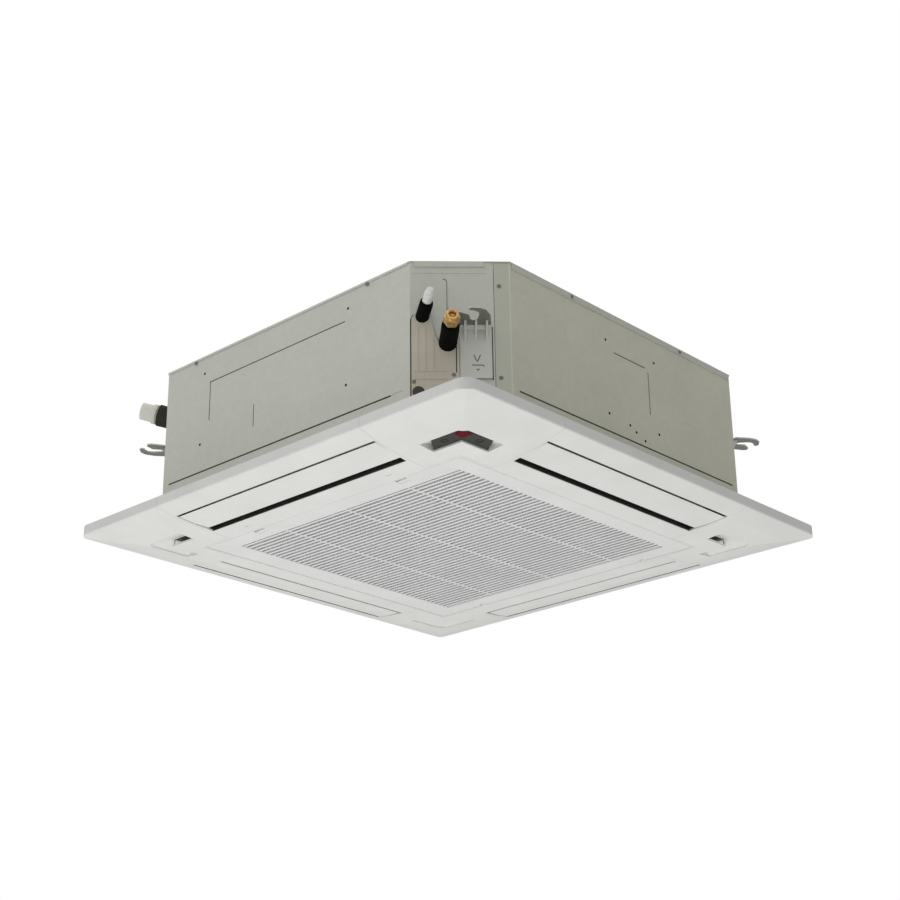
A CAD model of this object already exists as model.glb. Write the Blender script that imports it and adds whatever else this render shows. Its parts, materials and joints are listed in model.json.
# %% [markdown]
# # A four-way ceiling cassette air conditioner, seen from below
#
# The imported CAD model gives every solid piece: casing, brackets, moulded panel, grille, flaps and
# what is inside. This lesson dresses it. Each cell explains one step and then takes it: measuring
# helpers, procedural materials, finer pieces at the pipe corner, pressed and screwed details, and
# last the light and the camera.
#
# Everything is in metres. +Z is up, the front side faces -Y and the right side +X.

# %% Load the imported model
import json
import math

import bpy
import numpy as np
from mathutils import Matrix, Vector


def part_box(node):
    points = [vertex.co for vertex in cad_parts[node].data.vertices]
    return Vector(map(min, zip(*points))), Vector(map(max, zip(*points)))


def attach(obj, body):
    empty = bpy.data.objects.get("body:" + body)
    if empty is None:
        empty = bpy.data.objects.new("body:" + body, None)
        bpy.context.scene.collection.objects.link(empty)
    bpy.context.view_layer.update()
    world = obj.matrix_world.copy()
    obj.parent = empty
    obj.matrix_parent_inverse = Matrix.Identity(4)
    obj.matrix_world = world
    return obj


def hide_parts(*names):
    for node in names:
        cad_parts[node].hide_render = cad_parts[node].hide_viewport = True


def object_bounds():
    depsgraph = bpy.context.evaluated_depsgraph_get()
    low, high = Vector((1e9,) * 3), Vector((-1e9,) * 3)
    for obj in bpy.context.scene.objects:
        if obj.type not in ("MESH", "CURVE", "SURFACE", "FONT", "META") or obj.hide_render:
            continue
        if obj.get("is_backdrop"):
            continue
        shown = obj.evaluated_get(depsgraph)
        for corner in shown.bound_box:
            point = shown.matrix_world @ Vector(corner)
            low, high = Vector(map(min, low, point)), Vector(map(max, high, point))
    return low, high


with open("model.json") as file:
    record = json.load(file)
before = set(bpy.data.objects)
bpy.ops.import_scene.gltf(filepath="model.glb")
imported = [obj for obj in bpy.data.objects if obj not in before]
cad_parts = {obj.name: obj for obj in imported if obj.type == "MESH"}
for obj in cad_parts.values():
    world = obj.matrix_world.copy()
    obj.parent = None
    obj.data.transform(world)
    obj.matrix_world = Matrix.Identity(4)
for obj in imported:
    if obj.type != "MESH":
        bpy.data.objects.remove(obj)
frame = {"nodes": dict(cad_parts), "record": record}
cad_box = [list(corner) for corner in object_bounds()]
packed_materials = len(bpy.data.materials)
print("CAD nodes:", len(frame["nodes"]), "box:", [[round(v, 4) for v in c] for c in cad_box])

# %% [markdown]
# ## Node helpers
#
# A material is a small tree of nodes. `feed` gives the inputs of a node their values and links,
# and `add_node` makes any node, feeds it and hands back one of its outputs. Two pairs of nodes
# come up again and again, so they get a name each: soft patches that wander between two values,
# and a fine grain that bumps the surface. Colours are the hex values a designer would read off a
# sample.

# %% Node helpers
MM = 0.001
SHARE, FIRST, SECOND, MIXED = 0, 6, 7, 2  # sockets of a Mix node that mixes colours
COLOURS = {"data_type": "RGBA"}  # and the setting that makes it do so


def linear(hex_code, gain=1.0):
    """Linear RGBA of an sRGB hex colour: c/12.92 below 0.04045, else ((c+0.055)/1.055)^2.4."""
    parts = [int(hex_code[i : i + 2], 16) / 255 for i in (0, 2, 4)]
    light = [c / 12.92 if c <= 0.04045 else ((c + 0.055) / 1.055) ** 2.4 for c in parts]
    return [min(c * gain, 1.0) for c in light] + [1.0]


def feed(tree, node, inputs):
    """Gives each named input of a node its value, or a link where that is a node's output."""
    for key, value in inputs.items():
        if isinstance(value, bpy.types.NodeSocket):
            tree.links.new(value, node.inputs[key])
        else:
            node.inputs[key].default_value = value


def add_node(tree, kind, output, inputs=None, settings=None):
    """Adds a node with its settings and inputs, and returns one of its outputs."""
    node = tree.nodes.new("ShaderNode" + kind)
    for key, value in (settings or {}).items():
        setattr(node, key, value)
    feed(tree, node, inputs or {})
    return node.outputs[output]


def patches(tree, place, size, low, high, edges=(0.3, 0.7), detail=3.0, rough=0.5):
    """Blotches `size` metres across: noise whose span edges[0]..edges[1] becomes low..high."""
    cloud = add_node(tree, "TexNoise", "Fac", {
        "Vector": place, "Scale": 1 / size, "Detail": detail, "Roughness": rough,
    })
    return add_node(tree, "MapRange", "Result", {
        "Value": cloud, "From Min": edges[0], "From Max": edges[1], "To Min": low, "To Max": high,
    })


def grain(tree, place, size, depth, detail=3.0):
    """Normal of a grainy surface: noise `size` metres across that rises by `depth` metres."""
    height = add_node(tree, "TexNoise", "Fac", {
        "Vector": place, "Scale": 1 / size, "Detail": detail, "Roughness": 0.5,
    })
    return add_node(tree, "Bump", "Normal", {"Height": height, "Distance": depth, "Strength": 1.0})


def new_material(name, hex_code, roughness, metallic=0.0, ior=1.5):
    """A Principled material; returns (material, tree, shader, object coordinates in metres)."""
    material = bpy.data.materials.new(name)
    material.use_nodes = True
    tree = material.node_tree
    shader = tree.nodes["Principled BSDF"]
    feed(tree, shader, {
        "Base Color": linear(hex_code), "Roughness": roughness, "Metallic": metallic, "IOR": ior,
    })
    return material, tree, shader, add_node(tree, "TexCoord", "Object")


print("node helpers ready, mid grey is", round(linear("808080")[0], 3))

# %% [markdown]
# ## Moulded plastics
#
# The panel, flaps and grille are injection-moulded styrene; the cap, the pipe cover, the fan and
# the ducts are moulded from other plastics. Their moulds were spark-eroded, which leaves a very
# fine grain of some 0.4 mm, and the plastic's flow leaves faint shading over tens of millimetres.
# To the eye that is a satin surface, never quite even. One function makes all of them, since they
# differ only in tone, gloss and grain.

# %% Moulded plastics


def moulded_plastic(name, hex_code, roughness=0.42, size=0.4 * MM, depth=0.006 * MM, shade=0.04):
    """Satin injection-moulded plastic: colour = base x (1 +- shade), roughness +-0.05."""
    material, tree, shader, place = new_material(name, hex_code, roughness, 0.0, 1.53)
    flow = patches(tree, place, 90 * MM, 0.0, 1.0, detail=2.0)
    feed(tree, shader, {
        "Base Color": add_node(tree, "Mix", MIXED, {
            SHARE: flow,
            FIRST: linear(hex_code, 1 - shade), SECOND: linear(hex_code, 1 + shade / 2),
        }, COLOURS),
        "Roughness": patches(tree, place, 30 * MM, roughness - 0.05, roughness + 0.05),
        "Normal": grain(tree, place, size, depth, 2.0),
    })
    return material


panel_white = moulded_plastic("moulded_styrene_white", "E9E9E7")
slat_white = moulded_plastic("moulded_styrene_slats", "E8E8E8", 0.5)
cap_white = moulded_plastic("polyethylene_cap", "F4F4F2", 0.38, 0.6 * MM, 0.01 * MM)
motor_white = moulded_plastic("nylon_housing", "D8D8D2", 0.5)
cover_beige = moulded_plastic("moulded_cover_beige", "D8D0BF", 0.55, 0.8 * MM, 0.02 * MM, 0.07)
fan_grey = moulded_plastic("moulded_fan_grey", "A3A5A4", 0.5)
pipe_ivory = moulded_plastic("pvc_socket_ivory", "EEECE1", 0.4)
duct_dark = moulded_plastic("moulded_duct_dark", "3C3C39", 0.6)
print("plastics:", len(bpy.data.materials) - packed_materials)

# %% [markdown]
# ## Galvanised sheet
#
# Hot-dip zinc freezes in flat crystals, the spangle. Voronoi cells 9 mm across stand for them:
# each cell tilts the tone and the roughness slightly. A larger noise adds the faint cloudy
# handling marks, and fine horizontal streaks follow the rolling direction. A skin of oxide dulls
# the zinc, so it is a little under half metallic: bare metal would mirror the room.

# %% Galvanised and zinc-plated steel
FLANGE_EDGE = 419 * MM  # the right sheet's flanges lie nearer to the middle than this, along x
FLANGE_BLEND = 0.5 * MM  # half the width over which the two tones meet


def galvanised(
    name, hex_code, roughness=0.48, crystal=9 * MM, contrast=0.05, flange=None, under=None
):
    """Zinc spangle: tone = base x (1 +- contrast) by crystal, rougher where clouds are pale.

    A sheet has the tone `flange` where it is bent round a corner, and a pressing has the tone
    `under` on faces that look down, where the zinc is dull."""
    material, tree, shader, place = new_material(name, hex_code, roughness, 0.45)
    cells = add_node(
        tree, "TexVoronoi", "Color", {"Vector": place, "Scale": 1 / crystal}, {"feature": "F1"}
    )
    red = add_node(tree, "SeparateColor", "Red", {"Color": cells})
    cloud = patches(tree, place, 120 * MM, 0.0, 0.55, detail=4.0, rough=0.6)
    tone = add_node(
        tree, "Math", "Value", {0: red, 1: 0.45, 2: cloud}, {"operation": "MULTIPLY_ADD"}
    )
    colour = add_node(tree, "Mix", MIXED, {
        SHARE: tone, FIRST: linear(hex_code, 1 - contrast), SECOND: linear(hex_code, 1 + contrast),
    }, COLOURS)
    if flange is not None:
        bent = add_node(tree, "MapRange", "Result", {
            "Value": add_node(tree, "SeparateXYZ", "X", {"Vector": place}),
            "From Min": FLANGE_EDGE - FLANGE_BLEND, "From Max": FLANGE_EDGE + FLANGE_BLEND,
            "To Min": 1.0, "To Max": 0.0,
        })
        colour = add_node(
            tree, "Mix", MIXED, {SHARE: bent, FIRST: colour, SECOND: linear(flange)}, COLOURS
        )
    if under is not None:
        facing = add_node(tree, "NewGeometry", "Normal")
        down = add_node(tree, "MapRange", "Result", {
            "Value": add_node(tree, "SeparateXYZ", "Z", {"Vector": facing}),
            "From Min": -0.9, "From Max": -0.3, "To Min": 1.0, "To Max": 0.0,
        })
        colour = add_node(
            tree, "Mix", MIXED, {SHARE: down, FIRST: colour, SECOND: linear(under)}, COLOURS
        )
    stretched = add_node(tree, "Mapping", "Vector", {"Vector": place, "Scale": (1.0, 1.0, 30.0)})
    feed(tree, shader, {
        "Base Color": colour,
        "Roughness": add_node(tree, "MapRange", "Result", {
            "Value": tone, "From Min": 0.0, "From Max": 1.0,
            "To Min": roughness - 0.06, "To Max": roughness + 0.08,
        }),
        "Normal": add_node(tree, "Bump", "Normal", {
            "Height": red.node.outputs["Green"], "Distance": 0.012 * MM, "Strength": 1.0,
            "Normal": grain(tree, stretched, 50 * MM, 0.01 * MM, 2.0),
        }),
    })
    return material


sheet_steel = galvanised("galvanised_sheet", "D8DAD0")
olive_steel = galvanised("galvanised_sheet_olive", "E2E3D1", flange="CFD1C2")
bracket_steel = galvanised("zinc_plated_pressing", "E0E2DA", 0.4, 4 * MM, 0.04, under="8E9089")
screw_steel = galvanised("zinc_plated_screw", "8E908B", 0.3, 2 * MM)
print("zinc finishes:", 4)

# %% [markdown]
# ## Paint, brass and copper
#
# The motor's shell has a stoved paint, which dries with a slight orange peel. The flare nut is
# turned from brass and the pipes are drawn copper: both show fine lines from the tool and darker
# tarnish in patches, which a blend of two colours gives.

# %% Paint, brass and copper


def painted_metal(name, hex_code, roughness):
    """Stoved paint on steel: orange peel 3 mm across under a thin clear gloss."""
    material, tree, shader, place = new_material(name, hex_code, roughness)
    share = patches(tree, place, 50 * MM, 0.0, 1.0)
    feed(tree, shader, {
        "Coat Weight": 0.3,
        "Coat Roughness": 0.2,
        "Base Color": add_node(tree, "Mix", MIXED, {
            SHARE: share, FIRST: linear(hex_code, 0.93), SECOND: linear(hex_code, 1.05),
        }, COLOURS),
        "Normal": grain(tree, place, 3 * MM, 0.02 * MM),
    })
    return material


def drawn_metal(name, hex_code, roughness, line, tarnish):
    """Turned or drawn metal: fine lines `line` metres apart and a darker tarnish in patches."""
    material, tree, shader, place = new_material(name, hex_code, roughness, 1.0)
    patch = patches(tree, place, 12 * MM, 0.0, 1.0, (0.45, 0.75), 4.0)
    feed(tree, shader, {
        "Base Color": add_node(tree, "Mix", MIXED, {
            SHARE: patch, FIRST: linear(hex_code), SECOND: linear(tarnish),
        }, COLOURS),
        "Roughness": add_node(tree, "MapRange", "Result", {
            "Value": patch, "From Min": 0.0, "From Max": 1.0,
            "To Min": roughness, "To Max": roughness + 0.2,
        }),
        "Normal": grain(tree, place, line, 0.015 * MM, 1.0),
    })
    return material


motor_paint = painted_metal("stoved_motor_paint", "5A5D5F", 0.4)
brass = drawn_metal("machined_brass", "EAC182", 0.26, 0.7 * MM, "8A6230")
copper = drawn_metal("drawn_copper", "C47A4A", 0.3, 1 * MM, "7A4A30")
print("paint, brass and copper:", 3)

# %% [markdown]
# ## Foam and rubber
#
# Expanded bead foam shows its beads, about 3 mm across, with a fine seam where they meet. The
# pipes' closed-cell sleeves are nearly black with a fine skin. Rubber, and the dust that settles
# in grooves, are the same recipe in paler tones: a dark base, a dusty bloom and fine pores. They
# scarcely shine, so their reflection is weakened.

# %% Foam and rubber
BEAD = 3 * MM


def bead_foam(name, hex_code):
    """Expanded bead foam: Voronoi beads, darker and dented where they meet."""
    material, tree, shader, place = new_material(name, hex_code, 0.85, 0.0, 1.4)
    edge = add_node(
        tree, "TexVoronoi", "Distance", {"Vector": place, "Scale": 1 / BEAD},
        {"feature": "DISTANCE_TO_EDGE"},
    )
    seam = add_node(tree, "MapRange", "Result", {
        "Value": edge, "From Min": 0.0, "From Max": 0.12, "To Min": 0.0, "To Max": 1.0,
    })
    feed(tree, shader, {
        "Base Color": add_node(tree, "Mix", MIXED, {
            SHARE: seam, FIRST: linear(hex_code, 0.86), SECOND: linear(hex_code),
        }, COLOURS),
        "Normal": add_node(
            tree, "Bump", "Normal", {"Height": seam, "Distance": 0.15 * MM, "Strength": 1.0}
        ),
    })
    return material


def soft_dark(name, hex_code, roughness, pore, bloom):
    """Rubber, foam skin or dust: pores `pore` metres across and a paler bloom in patches."""
    material, tree, shader, place = new_material(name, hex_code, roughness)
    dusty = patches(tree, place, 15 * MM, 0.0, 0.4, (0.5, 0.85), 5.0)
    feed(tree, shader, {
        "Specular IOR Level": 0.12,
        "Base Color": add_node(tree, "Mix", MIXED, {
            SHARE: dusty, FIRST: linear(hex_code), SECOND: linear(bloom),
        }, COLOURS),
        "Normal": grain(tree, place, pore, 0.2 * MM, 4.0),
    })
    return material


white_foam = bead_foam("expanded_bead_foam", "F1F1EC")
sleeve_foam = soft_dark("closed_cell_sleeve", "0B0B0A", 0.9, 0.8 * MM, "171715")
rubber = soft_dark("moulded_rubber", "3B3A36", 0.7, 0.6 * MM, "4A4945")
hollow_dark = soft_dark("shadow_in_hole", "11110F", 0.9, 2 * MM, "1B1B19")
groove_dust = soft_dark("dust_in_groove", "55554F", 0.8, 1.5 * MM, "6A6A63")
print("soft finishes:", 5)

# %% [markdown]
# ## Net and fins
#
# The filter is a woven net: two sets of threads 1.6 mm apart cross at right angles, so the
# brighter of two sine patterns is thread and the rest is hole. The coil's pressed aluminium fins
# stand 1.5 mm apart. They run round the coil's corners, so their stripes follow x + y, which suits
# all four sides. A Wave node's bands are sin(20 x scale x place), which gives its scale from the
# spacing.

# %% Net and fins
THREAD_PITCH = 1.6 * MM
FIN_PITCH = 1.5 * MM
BAND_TURN = 2 * math.pi / 20  # scale of a Wave node whose bands lie 1 m apart


def woven_net(name, hex_code, hole):
    """Filter net: the brighter of two crossing thread patterns, `hole` coloured between them."""
    material, tree, shader, place = new_material(name, hex_code, 0.7)
    along_x, along_y = (
        add_node(
            tree, "TexWave", "Fac",
            {"Vector": place, "Scale": BAND_TURN / THREAD_PITCH, "Distortion": 0.0},
            {"wave_type": "BANDS", "bands_direction": axis},
        )
        for axis in "XY"
    )
    weave = add_node(tree, "Math", "Value", {0: along_x, 1: along_y}, {"operation": "MAXIMUM"})
    feed(tree, shader, {
        "Base Color": add_node(tree, "Mix", MIXED, {
            SHARE: weave, FIRST: linear(hole), SECOND: linear(hex_code),
        }, COLOURS),
        "Normal": add_node(
            tree, "Bump", "Normal", {"Height": weave, "Distance": 0.2 * MM, "Strength": 1.0}
        ),
    })
    return material


def finned(name, hex_code):
    """Pressed aluminium fins: dark gaps at every pitch along x + y."""
    material, tree, shader, place = new_material(name, hex_code, 0.35, 0.9)
    turned = add_node(
        tree, "Mapping", "Vector", {"Vector": place, "Rotation": (0, 0, -math.pi / 4)}
    )
    gap = add_node(
        tree, "TexWave", "Fac",
        {"Vector": turned, "Scale": BAND_TURN / (FIN_PITCH / math.sqrt(2)), "Distortion": 0.0},
        {"wave_type": "BANDS", "bands_direction": "X"},
    )
    share = add_node(tree, "MapRange", "Result", {
        "Value": gap, "From Min": 0.2, "From Max": 0.8, "To Min": 0.0, "To Max": 1.0,
    })
    feed(tree, shader, {
        "Base Color": add_node(tree, "Mix", MIXED, {
            SHARE: share, FIRST: linear(hex_code, 0.25), SECOND: linear(hex_code),
        }, COLOURS),
        "Normal": add_node(
            tree, "Bump", "Normal", {"Height": share, "Distance": 0.4 * MM, "Strength": 1.0}
        ),
    })
    return material


net = woven_net("woven_filter_net", "ECECF0", "CDCDD4")
fins = finned("pressed_fins", "C6CACC")
print("net and fins:", 2)

# %% [markdown]
# ## Window, lens and board
#
# The receiver's window is smoked plastic with a dark red lens in its bend. Both are polished, yet
# from below at a low angle they would mirror the bright room, so `specular` holds that back to
# what is seen. They look solid from outside, so a tinted opaque body is enough. The control board
# is green lacquer over copper tracks, for which the edges of Voronoi cells 6 mm across stand.

# %% Window, lens and board


def glossy(name, hex_code, roughness, specular=0.15):
    """Polished tinted plastic with a few fine hazy patches; `specular` weakens the reflection."""
    material, tree, shader, place = new_material(name, hex_code, roughness, 0.0, 1.45)
    tint = patches(tree, place, 20 * MM, 0.0, 1.0)
    feed(tree, shader, {
        "Specular IOR Level": specular,
        "Roughness": patches(tree, place, 10 * MM, roughness, roughness + 0.12, (0.4, 0.8), 4.0),
        "Base Color": add_node(tree, "Mix", MIXED, {
            SHARE: tint, FIRST: linear(hex_code, 0.85), SECOND: linear(hex_code, 1.1),
        }, COLOURS),
    })
    return material


def circuit_board(name, hex_code, track):
    """Lacquered board: raised lines of the colour `track` round cells 6 mm across."""
    material, tree, shader, place = new_material(name, hex_code, 0.35)
    edge = add_node(
        tree, "TexVoronoi", "Distance", {"Vector": place, "Scale": 1 / (6 * MM)},
        {"feature": "DISTANCE_TO_EDGE"},
    )
    line = add_node(tree, "MapRange", "Result", {
        "Value": edge, "From Min": 0.02, "From Max": 0.06, "To Min": 1.0, "To Max": 0.0,
    })
    feed(tree, shader, {
        "Base Color": add_node(tree, "Mix", MIXED, {
            SHARE: line, FIRST: linear(hex_code), SECOND: linear(track),
        }, COLOURS),
        "Normal": add_node(
            tree, "Bump", "Normal", {"Height": line, "Distance": 0.03 * MM, "Strength": 1.0}
        ),
    })
    return material


window_dark = glossy("smoked_window", "33322E", 0.3)
lens_red = glossy("red_lens", "5E0616", 0.25, 0.03)
sensor_black = glossy("sensor_glass", "0B0B0C", 0.15)
board_green = circuit_board("lacquered_board", "2D5A39", "4E7A4C")
print("materials made:", len(bpy.data.materials) - packed_materials)

# %% [markdown]
# ## Dress the CAD nodes
#
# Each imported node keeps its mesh. Its material slot says what it is made of, so one table from
# slot to material dresses them all. A few pieces differ from their slot's finish: the pump and its
# float, and the right sheet, whose zinc is a little more olive.

# %% Dress the CAD nodes
FINISHES = {
    "white_panel": panel_white, "grille_plastic": slat_white, "filter_net": net,
    "dark_window": window_dark, "red_lens": lens_red, "green_board": board_green,
    "galvanised_sheet": sheet_steel, "zinc_steel": bracket_steel, "beige_plastic": cover_beige,
    "black_foam": sleeve_foam, "copper": copper, "brass": brass, "cap_plastic": cap_white,
    "ivory_pipe": pipe_ivory, "dark_rubber": rubber, "white_foam": white_foam,
    "fin_aluminium": fins, "grey_plastic": fan_grey, "motor_steel": motor_paint,
    "dark_plastic": duct_dark,
}
for part in frame["record"]["subparts"]:
    node = frame["nodes"][part["node"]]
    node.data.materials.clear()
    node.data.materials.append(FINISHES[part["material_slot"]])
for node_name in ("drain_pump", "float_stem", "float_ring"):
    frame["nodes"][node_name].data.materials[0] = motor_white
frame["nodes"]["casing_right"].data.materials[0] = olive_steel

# %% [markdown]
# ## Places on the unit
#
# Two helpers turn measurements into points. On a corner face, u runs along the face to the right,
# w stands out from it and z is the height. On a side, the same letters are used with u along the
# side. The pipes lean, so their axes are given as a start and a direction.

# %% Places on the unit
CASING_HALF = 420  # middle to a side of the casing, in millimetres
CORNER_CUT = 113  # length that the corner face takes off either side
SIDE = CASING_HALF * MM
CORNER = (2 * CASING_HALF - CORNER_CUT) / math.sqrt(2) * MM  # middle to a corner face


def turned_point(distance, degrees, u, w, z):
    """(u, w, z) on a face at `distance` from the middle, turned `degrees` from the front side."""
    u, w, z = np.broadcast_arrays(np.asarray(u, float), np.asarray(w, float), np.asarray(z, float))
    angle = math.radians(degrees)
    y = -(distance + w)
    x_turned = u * math.cos(angle) - y * math.sin(angle)
    y_turned = u * math.sin(angle) + y * math.cos(angle)
    return np.stack([x_turned, y_turned, z], -1)


def on_side(side, u, w, z):
    """A point on side 0 front, 1 right, 2 rear or 3 left."""
    return turned_point(SIDE, 90 * side, u, w, z)


def on_corner(corner, u, w, z):
    """A point on corner face 0 front right, 1 rear right, 2 rear left or 3 front left."""
    return turned_point(CORNER, 45 + 90 * corner, u, w, z)


def pipe_axis(corner, u, z, tilt, lean):
    """Start and unit direction of a pipe that rises by `tilt` and leans aside by `lean` degrees."""
    rise, aside = math.radians(tilt), math.radians(lean)
    start = on_corner(corner, u, 0, z)
    end = on_corner(
        corner, u + math.sin(aside), math.cos(rise) * math.cos(aside), z + math.sin(rise)
    )
    return start, (end - start) / np.linalg.norm(end - start)


GAS = pipe_axis(0, -21 * MM, 161 * MM, 11, 4)
LIQUID = pipe_axis(0, -61 * MM, 207 * MM, 24, 12)
DRAIN = pipe_axis(3, 0, 252 * MM, 15, 0)
print("gas pipe leaves at", GAS[0].round(4), "along", GAS[1].round(3))

# %% [markdown]
# ## Surfaces in numpy
#
# Every new piece is a grid: one row for each ring of points, one column for each step round the
# ring. The faces join each row to the next, so a ring that shrinks to a point closes an end. A
# turned piece can be pushed in or out by a function of the angle, which makes hexagons and
# ripples.

# %% Surfaces in numpy


def ring_faces(rows, columns):
    """Four-sided faces that join each ring of a grid to the next, all the way round."""
    i, j = np.meshgrid(np.arange(rows - 1), np.arange(columns), indexing="ij")
    k = (j + 1) % columns
    here, there = i * columns, (i + 1) * columns
    return np.stack([here + j, here + k, there + k, there + j], -1).reshape(-1, 4)


def turned_over(faces):
    """The same faces seen from their other side."""
    return faces[:, [0, 3, 2, 1]]


def add_piece(name, grid, material, body, smooth=True):
    """Makes a mesh object from (points, faces), with a material, and lets it ride on a CAD body."""
    mesh = bpy.data.meshes.new(name)
    points, faces = grid
    mesh.from_pydata(points.tolist(), [], faces.tolist())
    mesh.validate()
    mesh.polygons.foreach_set("use_smooth", np.full(len(mesh.polygons), smooth))
    mesh.materials.append(material)
    piece = bpy.data.objects.new(name, mesh)
    bpy.context.scene.collection.objects.link(piece)
    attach(piece, body)
    return piece


def side_vectors(direction):
    """Two unit vectors square to a direction and to each other."""
    helper = np.array([0.0, 0.0, 1.0]) if abs(direction[2]) < 0.9 else np.array([1.0, 0.0, 0.0])
    right = np.cross(helper, direction)
    right /= np.linalg.norm(right)
    return right, np.cross(direction, right)


def revolve(profile, axis, segments=64, shape=None):
    """Grid of rows (r, d) turned about an axis: start + d*way + r*(cos a*right + sin a*up).

    `shape` may change the radii: it gets r, d and the angle, each as a grid."""
    start, way = axis
    right, up = side_vectors(way)
    profile = np.asarray(profile, float)
    angle = np.linspace(0, 2 * math.pi, segments, endpoint=False)
    r = np.repeat(profile[:, :1], segments, 1)
    d = np.repeat(profile[:, 1:2], segments, 1)
    a = np.repeat(angle[None, :], len(profile), 0)
    if shape is not None:
        r = shape(r, d, a)
    points = start + d[..., None] * way
    points = points + r[..., None] * (np.cos(a)[..., None] * right + np.sin(a)[..., None] * up)
    return points.reshape(-1, 3), ring_faces(len(profile), segments)


def closed_profile(points):
    """The profile with its first point repeated at the end."""
    return [*points, points[0]]


def in_mm(rows, shift=0.0):
    """Rows (r, d) given in millimetres, as metres, with d moved on by `shift` metres."""
    return [(r * MM, d * MM + shift) for r, d in rows]


print("a grid of 3 rings of 8 has", len(ring_faces(3, 8)), "faces")

# %% [markdown]
# ## Foam sleeves
#
# The sleeves are slipped on by hand, so their skin is never quite round. They get a soft ripple,
# r' = r (1 + k (sin(3a + 90d) + 0.6 sin(5a - 160d + 1))), and rounded ends. A turned profile with
# many rows gives the ripple points to move, and each sleeve takes the place of its CAD solid.

# %% Foam sleeves
SLEEVE_START = -10 * MM  # behind the casing's face
SLEEVE_ROUNDING = 0.8 * MM


def ripple(amount):
    """A shape function that makes a sleeve slightly uneven."""
    return lambda r, d, a: r * (
        1 + amount * (np.sin(3 * a + 90 * d) + 0.6 * np.sin(5 * a - 160 * d + 1))
    )


def sleeve_profile(inner, outer, end, rows):
    """Closed profile of a sleeve up to `end`, with many rows along its outside."""
    outside = [(outer, d) for d in np.linspace(SLEEVE_START, end, rows)][1:-1]
    rounded = outer - SLEEVE_ROUNDING
    return closed_profile([
        (inner, SLEEVE_START), (rounded, SLEEVE_START), *outside, (rounded, end), (inner, end),
    ])


gas_grid = revolve(sleeve_profile(6.65 * MM, 14.4 * MM, 54 * MM, 16), GAS, 64, ripple(0.01))
gas_sleeve = add_piece("gas_sleeve", gas_grid, sleeve_foam, "unit")
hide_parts("gas_insulation")

liquid_grid = revolve(sleeve_profile(3.48 * MM, 10.9 * MM, 34 * MM, 12), LIQUID, 56, ripple(0.012))
liquid_sleeve = add_piece("liquid_sleeve", liquid_grid, sleeve_foam, "unit")
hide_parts("liquid_insulation")
print("sleeve points:", len(gas_grid[0]) + len(liquid_grid[0]))

# %% [markdown]
# ## Flare nut, cap and drain socket
#
# The nut is hexagon bar with its corners turned off, so at each angle its radius is the smaller of
# the hexagon's and of a steep cone's. Rings in front of it and inside it stand for the thread,
# drawn 1.3 and 1 mm apart, coarser than real, so that they show. The cap and the drain socket are
# plain turned pieces with moulded beads. All three are finer than their CAD solids and stand in
# for them.

# %% Flare nut, cap and drain socket
NUT_BASE, NUT_LONG = 58.3 * MM, 14 * MM  # start of the hexagon along the pipe, and its length
NUT_FLAT = 11.4 * MM  # axis to a flat
NUT_END, NUT_SLOPE = 11.7 * MM, 1.7  # radius of the cone at either end, and its rise
NUT_CORE = 11.1 * MM  # points inside this radius stay round


def hexagon_nut(r, d, a):
    """Radius of a chamfered hexagon: the least of flat/cos(a') and the cone at either end."""
    folded = (a % (math.pi / 3)) - math.pi / 6
    hexagon = NUT_FLAT / np.cos(folded)
    cone = NUT_END + np.minimum(d - NUT_BASE, NUT_BASE + NUT_LONG - d) * NUT_SLOPE
    on_flats = (r > NUT_CORE) & (d < NUT_BASE + NUT_LONG + 0.1 * MM)
    return np.where(on_flats, np.minimum(hexagon, cone), r)


flats = [(12.0, d) for d in (0.4, 0.8, 1.3, 2, 4, 7, 10, 11.8, 12.7, 13.2, 13.6)]
nut_rows = [(0, 0), (10.8, 0), (11.0, 0.05), *flats, (11.0, 13.95), (10.6, 14), (9.8, 14.4)]
nut_rows += [(9.7, 15.0)]
for ring in range(3):
    nut_rows += [(10.5, 15.4 + ring * 1.3), (10.5, 15.9 + ring * 1.3), (9.9, 16.2 + ring * 1.3)]
nut_rows += [(10.5, 19.3), (10.5, 19.6), (10.1, 20.0), (6.4, 20.0), (5.7, 19.4)]
for ring in range(4):
    nut_rows += [(5.7, 19.0 - ring * 1.0), (5.3, 18.5 - ring * 1.0)]
nut_rows += [(5.6, 14.7), (2.6, 14.6), (2.4, 17.2), (1.5, 17.8), (0, 17.8)]
nut_grid = revolve(in_mm(nut_rows, NUT_BASE), GAS, 72, hexagon_nut)
flare_nut = add_piece("flare_nut_fine", nut_grid, brass, "unit")
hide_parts("gas_flare_nut")

cap_rows = [(0, 50.3), (3.5, 50.3), (3.5, 34.3), (7.3, 34.3), (7.6, 34.7), (7.6, 38.5)]
cap_rows += [(7.4, 38.8), (7.4, 40.6), (7.6, 40.9), (7.6, 51.8), (7.2, 52.3), (6.3, 52.5)]
cap_rows += [(6.0, 53), (6.0, 58.9), (5.5, 59.9), (4.2, 60.3), (0, 60.3)]
cap = add_piece(
    "liquid_cap_fine", revolve(in_mm(cap_rows), LIQUID, 48), cap_white, "unit"
)
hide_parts("liquid_cap")

socket_rows = [(13, 14), (16, 14), (16, 29.6), (16.4, 30), (18.1, 30), (18.5, 30.5), (18.5, 37.5)]
socket_rows += [(18.1, 38), (16.4, 38), (16, 38.4), (16, 59.2), (15.4, 60), (13.6, 60), (13, 59.4)]
socket_grid = revolve(in_mm(closed_profile(socket_rows)), DRAIN, 64)
socket = add_piece("drain_socket_fine", socket_grid, pipe_ivory, "unit")
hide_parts("drain_socket")
print("rows of the nut, cap and socket:", len(nut_rows), len(cap_rows), len(socket_rows))

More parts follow.
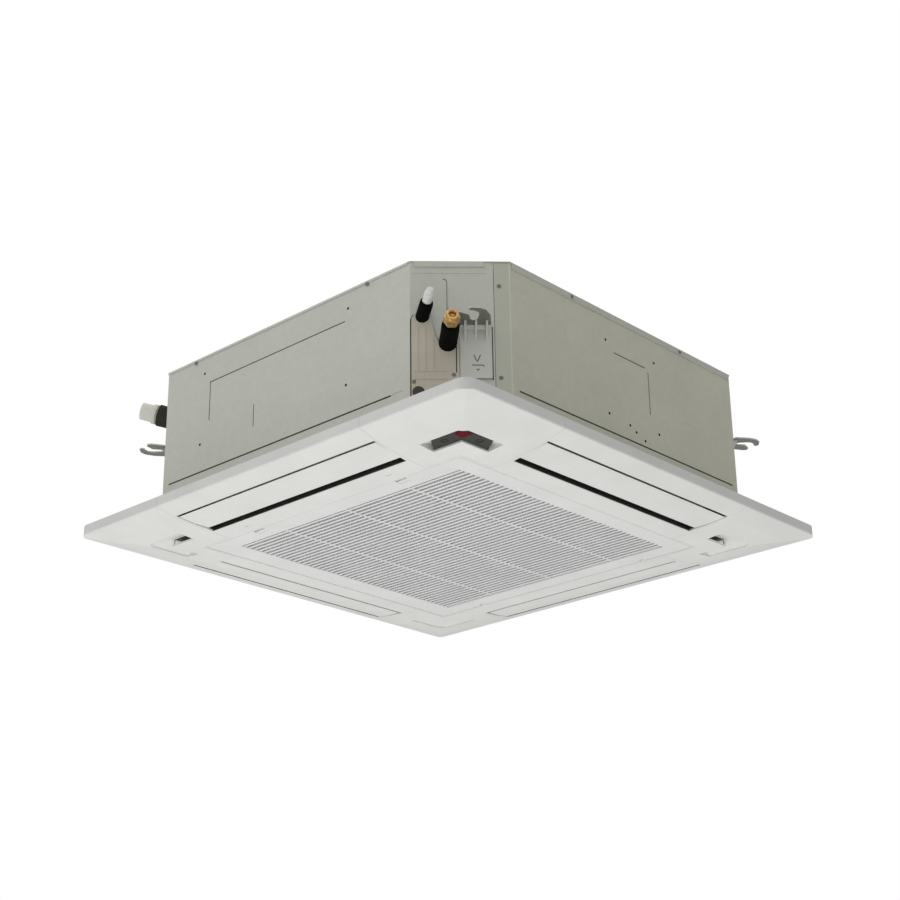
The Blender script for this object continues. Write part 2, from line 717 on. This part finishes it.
# %% [markdown]
# ## Screws
#
# The sheets are held by pan-head screws with cross recesses. A head is a polar grid: its height is
# a dome, h = H (1 - 0.75 (r/R)^2.4), lowered by 1.1 mm inside a cross whose arms are 1.1 mm wide.
# Its last two rings go straight down to the sheet and in to the middle, which closes it. All heads
# are one object, since they never part.

# %% Screws
RECESS_ARM = 0.55 * MM  # half the width of the cross
RECESS_DEPTH = 1.1 * MM
SHEET_SCREW = (3.6 * MM, 1.9 * MM)  # radius and height of a head
COVER_SCREW = (3.4 * MM, 1.8 * MM)
LID = 1.5  # the top plate's turned-down edge stands this far out from the sides, in millimetres
LID_SCREW_Z = 302.4
SEAM_SCREW_U, SEAM_SCREW_Z = 62, (264, 104)  # screws beside the seam on each corner face
COVER_FACE = 4.3  # the pipe cover's face stands this far out from its corner


def frame_at(point, outward):
    """Origin and axes of a small patch: two vectors along the face and one outward."""
    outward = np.asarray(outward, float) / np.linalg.norm(outward)
    right, up = side_vectors(outward)
    return np.asarray(point, float), right, up, outward


def side_place(side, u, z, w=0.0):
    """A patch on a side of the casing, from millimetres."""
    point = on_side(side, u * MM, w * MM, z * MM)
    return frame_at(point, on_side(side, u * MM, (w + 1) * MM, z * MM) - point)


def corner_place(corner, u, z, w=0.0):
    """A patch on a corner face of the casing, from millimetres."""
    point = on_corner(corner, u * MM, w * MM, z * MM)
    return frame_at(point, on_corner(corner, u * MM, (w + 1) * MM, z * MM) - point)


def screw_head(place, radius, height, spin):
    """Polar grid of one pan head with a cross recess, turned by `spin`."""
    origin, right, up, outward = place
    rings = np.array([0, 0.12, 0.25, 0.4, 0.55, 0.7, 0.82, 0.92, 1.0, 1.0, 0]) * radius
    angle = np.linspace(0, 2 * math.pi, 32, endpoint=False)
    r, a = np.meshgrid(rings, angle, indexing="ij")
    x, y = r * np.cos(a + spin), r * np.sin(a + spin)
    dome = height * (1 - (r / radius) ** 2.4 * 0.75)
    cross = ((np.abs(x) < RECESS_ARM) | (np.abs(y) < RECESS_ARM)) & (r < 0.6 * radius)
    h = np.where(cross, dome - RECESS_DEPTH, dome)
    h[-2:] = 0
    points = origin + x[..., None] * right + y[..., None] * up + h[..., None] * outward
    return points.reshape(-1, 3), turned_over(ring_faces(*r.shape))


def joined(parts):
    """Several (points, faces) as one, each set of faces shifted past the points before it."""
    points, quads, shift = [], [], 0
    for part_points, part_quads in parts:
        points.append(part_points)
        quads.append(part_quads + shift)
        shift += len(part_points)
    return np.concatenate(points), np.concatenate(quads)


screws = []
for side, across in ((0, (-228, 210)), (1, (-151, 152)), (2, (-210, 228)), (3, (-152, 151))):
    for u in across:
        screws.append(screw_head(side_place(side, u, LID_SCREW_Z, LID), *SHEET_SCREW, u))
for corner in range(4):
    for z in SEAM_SCREW_Z:
        screws.append(screw_head(corner_place(corner, SEAM_SCREW_U, z), *SHEET_SCREW, z))
for u, z in ((-74, 95), (-12, 107)):
    screws.append(screw_head(corner_place(0, u, z, COVER_FACE), *COVER_SCREW, u))
add_piece("casing_screws", joined(screws), screw_steel, "unit")
print("screws:", len(screws))

# %% [markdown]
# ## Punched holes
#
# Small punched holes look black, since the foam behind them gets no light. A dark disc a tenth of
# a millimetre proud of the sheet, with a thin raised lip for the burr, reads the same and leaves
# the CAD sheet whole.

# %% Punched holes
HOLE_RADIUS = 1.9 * MM


def disc(place, radius, proud=0.12 * MM, segments=24):
    """Rings of a disc `proud` of its face: flat, up to the lip, down to the face, and closed."""
    origin, right, up, outward = place
    rings = [(0, proud), (radius, proud), (radius * 1.12, proud * 2.2), (radius * 1.3, 0), (0, 0)]
    angle = np.linspace(0, 2 * math.pi, segments, endpoint=False)
    way = np.cos(angle)[:, None] * right + np.sin(angle)[:, None] * up
    points = [origin + h * outward + r * way for r, h in rings]
    return np.concatenate(points), turned_over(ring_faces(len(rings), segments))


SIDE_HOLES = {
    0: [(-203, 274), (165, 274), (162, 137), (-208, 139)],
    1: [(-63, 254), (73, 255), (-62, 119), (76, 121), (-6, 114), (11, 106), (35, 97)],
    2: [(-203, 274), (165, 274)],
    3: [(-63, 254), (73, 255)],
}
holes = [
    disc(side_place(side, u, z), HOLE_RADIUS)
    for side, spots in SIDE_HOLES.items()
    for u, z in spots
]
add_piece("punched_holes", joined(holes), hollow_dark, "unit")
print("holes:", len(holes))

# %% [markdown]
# ## Pressed marks
#
# The corner faces have raised lines pressed into them, and each bracket is stamped with an arrow
# over a bar. Each line is a low half-round bar carried along its points, which catches the light
# as a pressing does. The stamping is dusty, so it gets the dust's tone.

# %% Pressed marks
BRACKET_FACE = 2.8  # the bracket's plate stands this far out from its corner, in millimetres
LINE_STEPS = 12  # rings from one point of a line to the next


def ridge(points, outward, radius=0.8 * MM, height=None, sides=6):
    """Half-round bar along a line of points on a face: radius*cos(t) across, height*sin(t) out.

    A row of equal points before the first ring and after the last one closes both ends."""
    height = radius if height is None else height
    points = np.asarray(points, float)
    way = np.gradient(points, axis=0)
    way /= np.linalg.norm(way, axis=1)[:, None]
    across = np.cross(way, outward)
    angle = np.linspace(0, math.pi, sides)
    rings = points[:, None] + radius * np.cos(angle)[None, :, None] * across[:, None]
    rings = rings + height * np.sin(angle)[None, :, None] * outward
    ends = np.repeat(points[[0, -1], None], sides, 1)
    rings = np.concatenate([ends[:1], rings, ends[1:]])
    return rings.reshape(-1, 3), turned_over(ring_faces(len(rings), sides))


def ridge_on(face, number, line, w=0.0, radius=0.8, height=None):
    """Ridge through (u, z) points on a face, in millimetres, straight from point to point.

    `face` is on_side or on_corner, and `number` says which side or corner it is."""
    line = np.asarray(line, float)
    pairs = zip(line[:-1], line[1:])
    steps = [np.linspace(a, b, LINE_STEPS, endpoint=False) for a, b in pairs]
    spots = np.concatenate([*steps, line[-1:]]) * MM
    points = face(number, spots[:, 0], w * MM, spots[:, 1])
    outward = face(number, 0, 1.0, 0) - face(number, 0, 0.0, 0)
    return ridge(points, outward, radius * MM, (height or radius) * MM)


def mirrored(corner, line):
    """The line as it lies on this corner: neighbouring corners are mirror images."""
    flip = 1 if corner % 2 == 0 else -1
    return [(flip * u, z) for u, z in line]


BANDS = [[(-75, z - 0.6), (-70, z), (36, z), (42, z - 0.6)] for z in (287.5, 297.2)]
STAMPS = [
    [(20, 142), (23, 134), (25, 131), (27, 134), (30, 142)],
    [(17, 124.5), (34, 124.5), (36, 122)],
    [(24, 118), (26, 115.5), (28, 118)],
]
marks = [
    ridge_on(on_corner, 0, [(-27, 278), (-22, 276), (-20, 272), (-20, 222)]),
    ridge_on(on_corner, 0, [(-52, 222), (-49, 213), (-44, 190)], 0.0, 0.7),
]
stamping = []
for corner in range(4):
    marks += [ridge_on(on_corner, corner, mirrored(corner, line)) for line in BANDS]
    stamping += [
        ridge_on(on_corner, corner, mirrored(corner, line), BRACKET_FACE, 0.7) for line in STAMPS
    ]
add_piece("pressed_ridges", joined(marks), sheet_steel, "unit")
add_piece("bracket_stamping", joined(stamping), groove_dust, "unit")
print("pressed lines:", len(marks), "stamped lines:", len(stamping))

# %% [markdown]
# ## Dust
#
# Dust makes the pressings read as dark lines. In each groove of the sheets lies a flat half-round
# bar, 1.8 mm wide and 0.25 mm high, on the floor 0.6 mm deep. The long groove near the bottom of
# each side also has a 3 mm strip, 0.12 mm high, over it at the sheet's surface. The seams down the
# corner faces, the near bracket's edge, its ribs and the bent line above the pipes get finer
# lines, and a round plug in the pipe cover gets a dusty disc. A thin bar was chosen over paint on
# the sheet, because it stays sharp however the sheet's own material is baked.

# %% Dust
GROOVE_DEPTH = 0.6
BOTTOM_GROOVE = [(-291, 86.2), (291, 86.2)]
GROOVES = {
    0: [
        [(-291, 86.2), (264, 86.2)],
        [(-187, 252.8), (158, 252.8)],
        [(-185.8, 179), (-185.8, 252)],
        [(-66, 132), (-66, 173)],
    ],
    1: [BOTTOM_GROOVE, [(-42, 236.8), (46, 236.8)], [(53.8, 151), (53.8, 230)]],
    2: [BOTTOM_GROOVE],
    3: [BOTTOM_GROOVE],
}
CORNER_SEAM = [(53.5, 44), (53.5, 296)]
BRACKET_EDGE = [(49.6, 100), (49.6, 192)]
BENT_LINE = [(-27.5, 276.6), (-22.8, 274.8), (-21.2, 271.4), (-21.2, 222)]
RIB_PLACES = (6.8, 23.8, 40.8)  # ribs of the near bracket, along the corner face
RIB_SIDE = 1.9  # middle of a rib to the dust beside it
PLUG_U, PLUG_Z, PLUG_RADIUS = -67, 78, 7.4 * MM

dust = [
    ridge_on(on_side, side, line, -GROOVE_DEPTH, 0.9, 0.25)
    for side, lines in GROOVES.items()
    for line in lines
]
dust += [ridge_on(on_side, side, lines[0], 0.0, 1.5, 0.12) for side, lines in GROOVES.items()]
for corner in range(4):
    dust.append(ridge_on(on_corner, corner, CORNER_SEAM, -0.9, 0.35, 0.2))
dust.append(ridge_on(on_corner, 0, BRACKET_EDGE, 0.0, 1.0, 0.3))
dust.append(ridge_on(on_corner, 0, BENT_LINE, 0.0, 0.5, 0.25))
for u in RIB_PLACES:
    for beside in (u - RIB_SIDE, u + RIB_SIDE):
        dust.append(ridge_on(on_corner, 0, [(beside, 152), (beside, 185)], 2.5, 0.45, 0.3))
dust.append(disc(corner_place(0, PLUG_U, PLUG_Z, COVER_FACE), PLUG_RADIUS))
add_piece("groove_dust", joined(dust), groove_dust, "unit")
print("lines and spots of dust:", len(dust))

# %% [markdown]
# ## The pipe cover's gasket and crease
#
# A soft gasket squeezes out round the edge of the pipe cover, and a dark crease runs down the
# cover's right side. Both are half-round bars again, the gasket 2.2 mm wide and 2.4 mm high, since
# a squeezed gasket bulges that way.

# %% The pipe cover's gasket and crease
COVER_EDGE = [
    (-78.8, 60), (-78.8, 204), (-75.5, 210.8), (-52.2, 210.8), (-49.6, 208.5), (-40.2, 177),
    (-34.8, 166),
]
soft = [
    ridge_on(on_corner, 0, COVER_EDGE, 0.2, 1.1, 2.4),
    ridge_on(on_corner, 0, [(-7.5, 111), (-7.5, 158)], 4.2, 0.9, 0.5),
]
add_piece("cover_gasket", joined(soft), rubber, "unit")
print("gasket points:", sum(len(points) for points, _ in soft))

# %% [markdown]
# ## Lips of the flaps and ribs of the grille
#
# A thin lip closes half of the gap outside each flap and swings with it, so that only a fine dark
# line stays open. Three cross ribs stiffen the slats; their lower faces lie level with the slats.
# Each is one section carried along a straight line, so it is the same from end to end.

# %% Lips of the flaps and ribs of the grille
UP = np.array([0.0, 0.0, 1.0])
FLAP_EDGE = 426.5 * MM  # middle to a flap's outer edge
LIP_HALF, RIB_HALF = 241.6, 272  # half the length of a lip and of a rib, in millimetres
BAR_ROWS = 13
LIP_SECTION = [(-0.6, 9.78), (3.6, 10.3), (4.1, 10.5), (4.2, 10.9), (4.0, 11.2), (-0.6, 11.3)]
RIB_SECTION = [(-1.5, 2.6), (-1.5, 1.3), (-1.2, 1.05), (1.2, 1.05), (1.5, 1.3), (1.5, 2.6)]


def swept(section, line, across, up):
    """Closed bar: p + s*across + t*up for each point p of the line and (s, t) of the section in mm.

    The first and the last row shrink to the section's middle, which closes both ends."""
    section, line = np.asarray(section, float) * MM, np.asarray(line, float)
    rows = np.concatenate([line[:1], line, line[-1:]])
    scale = np.ones(len(rows))
    scale[[0, -1]] = 0
    middle = section.mean(0)
    spots = middle + scale[:, None, None] * (section - middle)
    points = rows[:, None] + spots[..., :1] * np.asarray(across) + spots[..., 1:] * np.asarray(up)
    return points.reshape(-1, 3), turned_over(ring_faces(len(rows), len(section)))


for number, side_name in enumerate(("front", "right", "rear", "left")):
    along = np.linspace(-LIP_HALF, LIP_HALF, BAR_ROWS) * MM
    line = turned_point(FLAP_EDGE, 90 * number, along, 0.0, 0.0)
    outward = turned_point(0, 90 * number, 0, 1.0, 0)
    lip = swept(LIP_SECTION, line, outward, UP)
    add_piece("flap_lip_" + side_name, lip, panel_white, "vane_" + side_name, False)

ribs = []
for x in (-144.5, 6.0, 156.5):
    line = np.array([(x, y, 0.0) for y in np.linspace(-RIB_HALF, RIB_HALF, BAR_ROWS)]) * MM
    ribs.append(swept(RIB_SECTION, line, (1.0, 0.0, 0.0), UP))
add_piece("grille_rib_faces", joined(ribs), slat_white, "grille_door", False)
print("flap lips: 4, ribs:", len(ribs))

# %% [markdown]
# ## Arrows beside the catches
#
# Beside each of the grille's two catches small raised arrows show which way it slides. They lie on
# the panel, whose underside rises with the distance a from the middle as 20 mm ((a - 312.5) /
# 162.5)^2.2, so each point of an arrow takes its height from that curve.

# %% Arrows beside the catches
ARROW_FOOT, ARROW_TIP = 333, 337  # distances from the middle


def underside(distance):
    """Height of the panel's underside, 20 ((a - 312.5) / 162.5)^2.2, in millimetres."""
    return 20 * (max(distance - 312.5, 0) / 162.5) ** 2.2


arrows = []
for x in (-178.5, -171.5, 171.5, 178.5):
    points = [
        (x - 2.5, -ARROW_FOOT, underside(ARROW_FOOT)),
        (x, -ARROW_TIP, underside(ARROW_TIP)),
        (x + 2.5, -ARROW_FOOT, underside(ARROW_FOOT)),
    ]
    arrows.append(ridge(np.array(points) * MM, -UP, 0.5 * MM, 0.2 * MM))
add_piece("catch_arrows", joined(arrows), motor_white, "unit")
print("arrows:", len(arrows))

# %% [markdown]
# ## Behind the receiver window
#
# The window in the front right recess is smoked plastic. A round sensor can be made out in each of
# its legs. A thin dark disc on the window's lower face gives that without a see-through window.

# %% Sensors in the window
window_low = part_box("receiver_window")[0].z
sensors = [
    disc(frame_at((x * MM, y * MM, window_low), (0, 0, -1)), 5.2 * MM, 0.15 * MM, 32)
    for x, y in ((333, -371.5), (371.5, -333))
]
add_piece("receiver_sensors", joined(sensors), sensor_black, "cover_front_right")
print("sensors:", len(sensors))

# %% [markdown]
# ## The mouth and the fan's shroud
#
# With the grille open one looks straight into the fan. The bell mouth and the shroud are turned
# round the upright axis in 96 steps: the mouth's wall follows a quarter of an ellipse from its
# flange into the throat, r = R + a (1 - sin t), z = z0 + b (1 - cos t), and the shroud's section
# runs through six points on either face. Both take their place from the CAD solids they stand in
# for.

# %% The mouth and the fan's shroud
UPRIGHT = (np.zeros(3), UP)
THROAT, WALL = 172.0, 2.5  # radius of the throat and thickness of the wall, in millimetres
FLAT = 14  # width of the mouth's flat flange, and height of its straight neck
ROLL_STEPS, TURN_STEPS = 17, 96
mouth_low, mouth_high = (corner.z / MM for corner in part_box("bell_mouth"))
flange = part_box("bell_mouth")[1].x / MM
roll, rise = flange - THROAT - FLAT, mouth_high - FLAT - mouth_low
t = np.linspace(0, math.pi / 2, ROLL_STEPS)
curve = np.stack([THROAT + roll * (1 - np.sin(t)), mouth_low + rise * (1 - np.cos(t))], 1)
lift = np.stack([np.full(ROLL_STEPS, WALL), WALL * (curve[:, 0] - THROAT) / roll], 1)
outside = [(flange, mouth_low + WALL), *(curve + lift).tolist(), (THROAT + WALL, mouth_high)]
inside = [(THROAT, mouth_high), *curve[::-1].tolist(), (flange, mouth_low)]
mouth_grid = revolve(in_mm(closed_profile(outside + inside)), UPRIGHT, TURN_STEPS)
mouth = add_piece("bell_mouth_fine", mouth_grid, fan_grey, "unit")
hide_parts("bell_mouth")

shroud_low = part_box("fan_shroud")[0].z / MM
eye, rim = THROAT + 9.0, THROAT + 63.0  # radii of the shroud's inner and outer edge
upper = [(eye, 0), (eye + 1, 8), (eye + 4, 18), (eye + 12, 28), (eye + 24, 36), (rim, 50)]
lower = [(rim, 46), (eye + 26, 32), (eye + 15, 24.5), (eye + 8, 15), (eye + 4.2, 7), (eye + 3, 0)]
rows = [(r, shroud_low + z) for r, z in (upper + lower)[::-1]]
shroud_grid = revolve(in_mm(closed_profile(rows)), UPRIGHT, TURN_STEPS)
shroud = add_piece("fan_shroud_fine", shroud_grid, fan_grey, "fan")
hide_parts("fan_shroud")
print("mouth from", round(mouth_low, 1), "to", round(mouth_high, 1), "mm, flange", round(flange, 1))

# %% [markdown]
# ## Floor
#
# The unit hangs high over a plain pale floor, which keeps the background even and throws soft
# light up at the panel.

# %% Floor
scene = bpy.context.scene
scene.view_settings.view_transform = "Standard"
FLOOR_HALF, FLOOR_Z = 12.0, -2.4

floor_mesh = bpy.data.meshes.new("floor")
corners = ((-1, -1), (1, -1), (1, 1), (-1, 1))
floor_mesh.from_pydata(
    [(x * FLOOR_HALF, y * FLOOR_HALF, FLOOR_Z) for x, y in corners], [], [(0, 1, 2, 3)]
)
floor = bpy.data.objects.new("floor", floor_mesh)
scene.collection.objects.link(floor)
floor_material, tree, shader, place = new_material("matt_floor", "F0F0EE", 0.9)
feed(tree, shader, {
    "Base Color": add_node(tree, "Mix", MIXED, {
        SHARE: patches(tree, place, 0.6, 0.0, 1.0),
        FIRST: linear("ECECEA"), SECOND: linear("F2F2F0"),
    }, COLOURS),
})
floor_mesh.materials.append(floor_material)
floor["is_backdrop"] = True
print("floor at", FLOOR_Z, "m")

# %% [markdown]
# ## Light
#
# A pale world gives soft studio light from every side, a little more from the left and the front,
# and more still from high above, so that the top and the floor aren't dull. The camera itself sees
# it as plain white. One broad lamp below lights the panel.

# %% Light
world = bpy.data.worlds.new("studio")
scene.world = world
world.use_nodes = True
sky = world.node_tree
split = add_node(sky, "SeparateXYZ", "X", {"Vector": add_node(sky, "TexCoord", "Generated")}).node
sideways = add_node(
    sky, "Math", "Value", {0: split.outputs["X"], 1: split.outputs["Y"]}, {"operation": "ADD"}
)
level = add_node(sky, "MapRange", "Result", {
    "Value": sideways, "From Min": -1.2, "From Max": 1.2, "To Min": 0.52, "To Max": 0.20,
})
zenith = add_node(sky, "MapRange", "Result", {
    "Value": split.outputs["Z"], "From Min": 0.3, "From Max": 0.9, "To Min": 0.0, "To Max": 0.55,
})
soft_top = add_node(sky, "Math", "Value", {0: level, 1: zenith}, {"operation": "ADD"})
seen = add_node(sky, "LightPath", "Is Camera Ray")
feed(sky, sky.nodes["Background"], {
    "Color": (1.0, 1.0, 1.0, 1.0),
    "Strength": add_node(sky, "Math", "Value", {0: soft_top, 1: seen}, {"operation": "MAXIMUM"}),
})

lamp = bpy.data.lights.new("fill_below", "AREA")
lamp.size, lamp.energy = 2.2, 19
lamp_place = Vector((0.0, -0.7, -2.1))
holder = bpy.data.objects.new("fill_below", lamp)
holder.location = lamp_place
holder.rotation_euler = (-lamp_place).to_track_quat("-Z", "Y").to_euler()
scene.collection.objects.link(holder)
print("lamp of", lamp.energy, "W at", [round(v, 2) for v in lamp_place])

# %% [markdown]
# ## Camera
#
# The camera looks up from below: azimuth 42.79 degrees, elevation -22, rolled by -0.73 degrees.
# Its focal length is 1706 pixels on a frame of 900, which is 68.24 mm on a 36 mm sensor.

# %% Camera
FOCAL_PIXELS, FRAME_PIXELS, SENSOR_MM = 1706, 900, 36
CAMERA_PLACE = (1.9940, -2.1533, -0.9953)

azimuth, elevation, roll = (math.radians(v) for v in (42.79, -22.0, -0.73))
back = Vector((
    math.sin(azimuth) * math.cos(elevation),
    -math.cos(azimuth) * math.cos(elevation),
    math.sin(elevation),
))
right = (-back).cross(Vector((0, 0, 1))).normalized()
up = right.cross(-back)
rolled_right = math.cos(roll) * right + math.sin(roll) * up
rolled_up = -math.sin(roll) * right + math.cos(roll) * up
camera_data = bpy.data.cameras.new("camera")
camera_data.lens = FOCAL_PIXELS / FRAME_PIXELS * SENSOR_MM
camera_data.sensor_width = SENSOR_MM
camera = bpy.data.objects.new("camera", camera_data)
turn = Matrix((rolled_right, rolled_up, back)).transposed()
camera.matrix_world = Matrix.Translation(CAMERA_PLACE) @ turn.to_4x4()
scene.collection.objects.link(camera)
scene.camera = camera
print("camera at", [round(v, 3) for v in camera.location])

# %% [markdown]
# ## Check the size and finish
#
# The dressed model must fill the same box as the CAD. Both boxes are kept to compare them.

# %% Check the size and finish
dressed_box = [list(corner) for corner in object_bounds()]
gap = np.abs(np.array(cad_box) - np.array(dressed_box)).max()
print("largest difference in mm:", round(float(gap) * 1000, 3))
